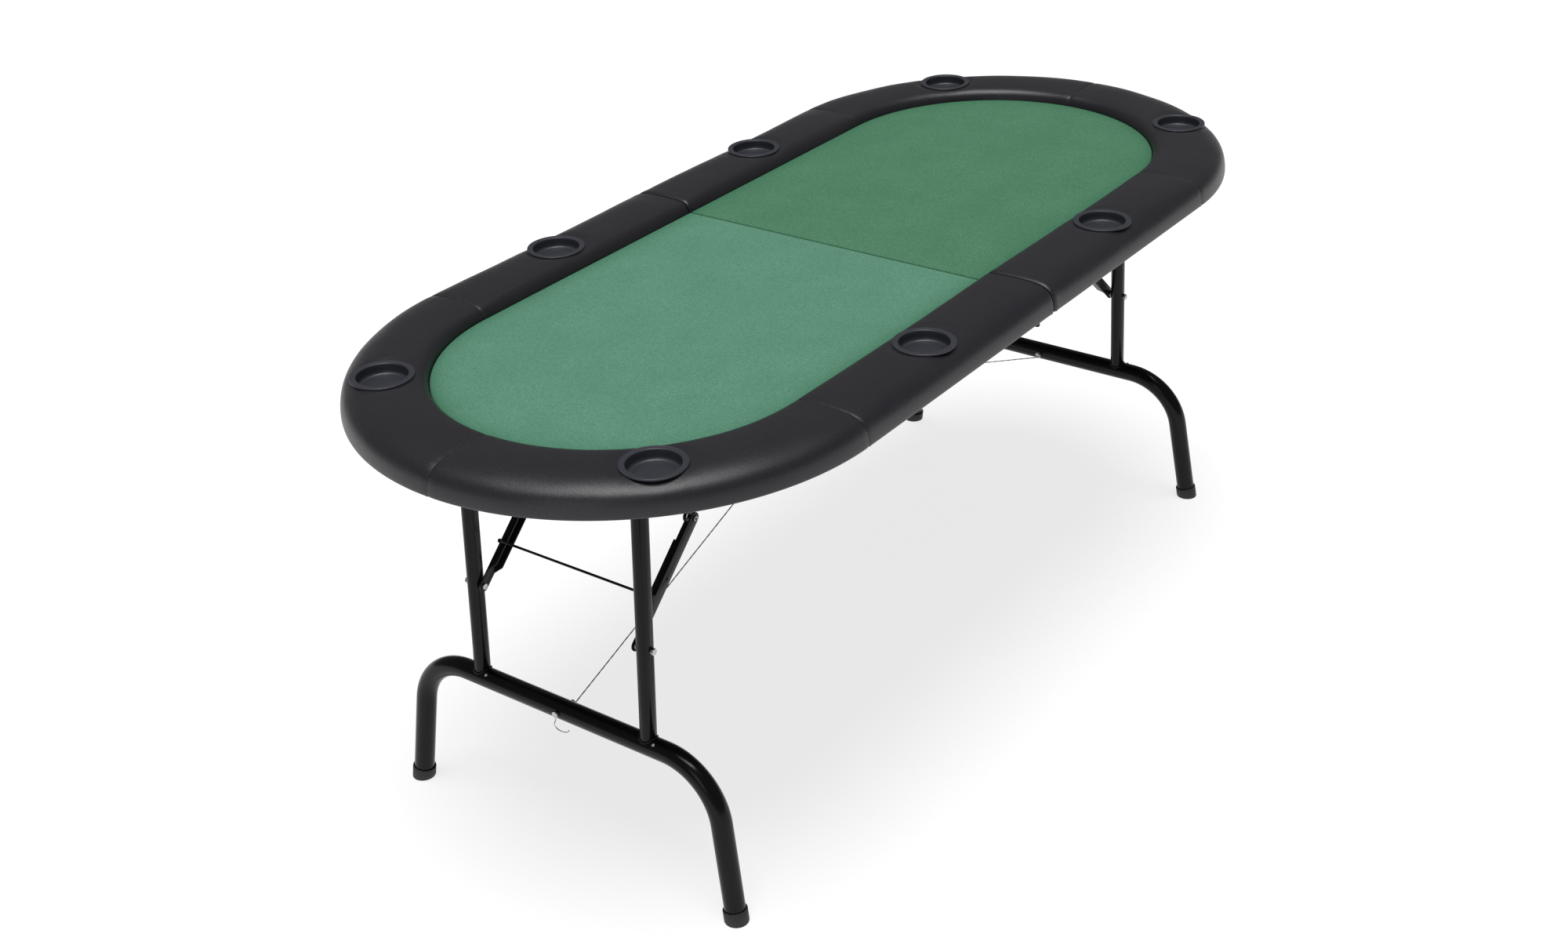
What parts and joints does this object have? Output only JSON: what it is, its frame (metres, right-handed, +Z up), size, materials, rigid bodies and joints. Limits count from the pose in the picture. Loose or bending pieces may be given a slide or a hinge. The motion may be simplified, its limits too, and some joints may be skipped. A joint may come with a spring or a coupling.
{
  "type": "folding poker table",
  "caption": "Oval folding card table: a cloth-covered top in hinged halves, a padded rail with cup holders, and folding braced tube legs tied by taut cables.",
  "frame": {"origin": "on the floor under the middle of the top", "axes": "+X along the table's length to the right half, +Y to the back long side, +Z up"},
  "size_m": [1.829, 0.825, 0.7415],
  "materials": {
    "plywood": "painted black plywood",
    "fibreboard": "raw fibreboard",
    "playing_cloth": "napped playing cloth over foam",
    "rail_vinyl": "grained vinyl over foam",
    "cup_plastic": "moulded, satin",
    "black_tube": "powder coated, gloss",
    "black_link": "powder coated, satin",
    "black_bracket": "powder coated, satin",
    "zinc_steel": "zinc plated",
    "steel_cable": "stranded wire",
    "foot_rubber": "moulded rubber"
  },
  "bodies": {
    "left_half": {"left_base_board": "plywood", "left_play_deck": "fibreboard", "left_felt_pad": "playing_cloth", "left_fold_batten": "plywood", "left_rail_front": "rail_vinyl", "left_rail_back": "rail_vinyl", "left_rail_end_front": "rail_vinyl", "left_rail_end_back": "rail_vinyl", "left_cup_front": "cup_plastic", "left_cup_back": "cup_plastic", "left_cup_end_front": "cup_plastic", "left_cup_end_back": "cup_plastic", "left_hinge_ears": "black_bracket", "left_leg_saddles": "black_bracket", "left_brace_brackets": "black_bracket", "left_screws": "zinc_steel", "left_cable": "steel_cable", "hinge_pins": "zinc_steel", "fold_bumpers": "foot_rubber"},
    "right_half": {"right_base_board": "plywood", "right_play_deck": "fibreboard", "right_felt_pad": "playing_cloth", "right_fold_batten": "plywood", "right_rail_front": "rail_vinyl", "right_rail_back": "rail_vinyl", "right_rail_end_front": "rail_vinyl", "right_rail_end_back": "rail_vinyl", "right_cup_front": "cup_plastic", "right_cup_back": "cup_plastic", "right_cup_end_front": "cup_plastic", "right_cup_end_back": "cup_plastic", "right_hinge_ears": "black_bracket", "right_leg_saddles": "black_bracket", "right_brace_brackets": "black_bracket", "right_screws": "zinc_steel", "right_cable": "steel_cable"},
    "strut": {"centre_strut": "black_bracket"},
    "left_leg": {"left_pivot_tube": "black_tube", "left_post_front": "black_tube", "left_post_back": "black_tube", "left_foot_tube": "black_tube", "left_foot_caps": "foot_rubber", "left_brace_bolts": "zinc_steel", "left_cable_bolt": "steel_cable"},
    "left_lower_brace": {"left_lower_links": "black_link", "left_cross_rod": "black_tube"},
    "left_upper_brace": {"left_upper_links": "black_link"},
    "right_leg": {"right_pivot_tube": "black_tube", "right_post_front": "black_tube", "right_post_back": "black_tube", "right_foot_tube": "black_tube", "right_foot_caps": "foot_rubber", "right_brace_bolts": "zinc_steel", "right_cable_bolt": "steel_cable"},
    "right_lower_brace": {"right_lower_links": "black_link", "right_cross_rod": "black_tube"},
    "right_upper_brace": {"right_upper_links": "black_link"}
  },
  "joints": [
    {"name": "table_fold", "type": "hinge", "parent": "left_half", "child": "right_half", "pos_m": [0, 0, 0.65], "axis": [0, 1, 0], "range_deg": [0, 90]},
    {"name": "strut_swing", "type": "hinge", "parent": "left_half", "child": "strut", "pos_m": [0, 0, 0.65], "axis": [0, 1, 0], "range_deg": [0, 45]},
    {"name": "left_leg_fold", "type": "hinge", "parent": "left_half", "child": "left_leg", "pos_m": [-0.687, 0, 0.672], "axis": [0, -1, 0], "range_deg": [0, 93.66], "deforming": ["left_cable"]},
    {"name": "left_lower_brace_turn", "type": "hinge", "parent": "left_leg", "child": "left_lower_brace", "pos_m": [-0.70439, 0, 0.40006], "axis": [0, -1, 0], "range_deg": [0, 43.84]},
    {"name": "left_upper_brace_turn", "type": "hinge", "parent": "left_half", "child": "left_upper_brace", "pos_m": [-0.40762, 0, 0.672], "axis": [0, 1, 0], "range_deg": [0, 42.5]},
    {"name": "right_leg_fold", "type": "hinge", "parent": "right_half", "child": "right_leg", "pos_m": [0.687, 0, 0.672], "axis": [0, 1, 0], "range_deg": [0, 93.66], "deforming": ["right_cable"]},
    {"name": "right_lower_brace_turn", "type": "hinge", "parent": "right_leg", "child": "right_lower_brace", "pos_m": [0.70439, 0, 0.40006], "axis": [0, 1, 0], "range_deg": [0, 43.84]},
    {"name": "right_upper_brace_turn", "type": "hinge", "parent": "right_half", "child": "right_upper_brace", "pos_m": [0.40762, 0, 0.672], "axis": [0, -1, 0], "range_deg": [0, 42.5]}
  ],
  "couplings": [
    {"joint": "strut_swing", "follows": "table_fold", "ratio": 0.5},
    {"joint": "left_lower_brace_turn", "follows": "left_leg_fold", "ratio": 0.46808},
    {"joint": "left_upper_brace_turn", "follows": "left_leg_fold", "ratio": 0.45377},
    {"joint": "right_lower_brace_turn", "follows": "right_leg_fold", "ratio": 0.46808},
    {"joint": "right_upper_brace_turn", "follows": "right_leg_fold", "ratio": 0.45377}
  ]
}
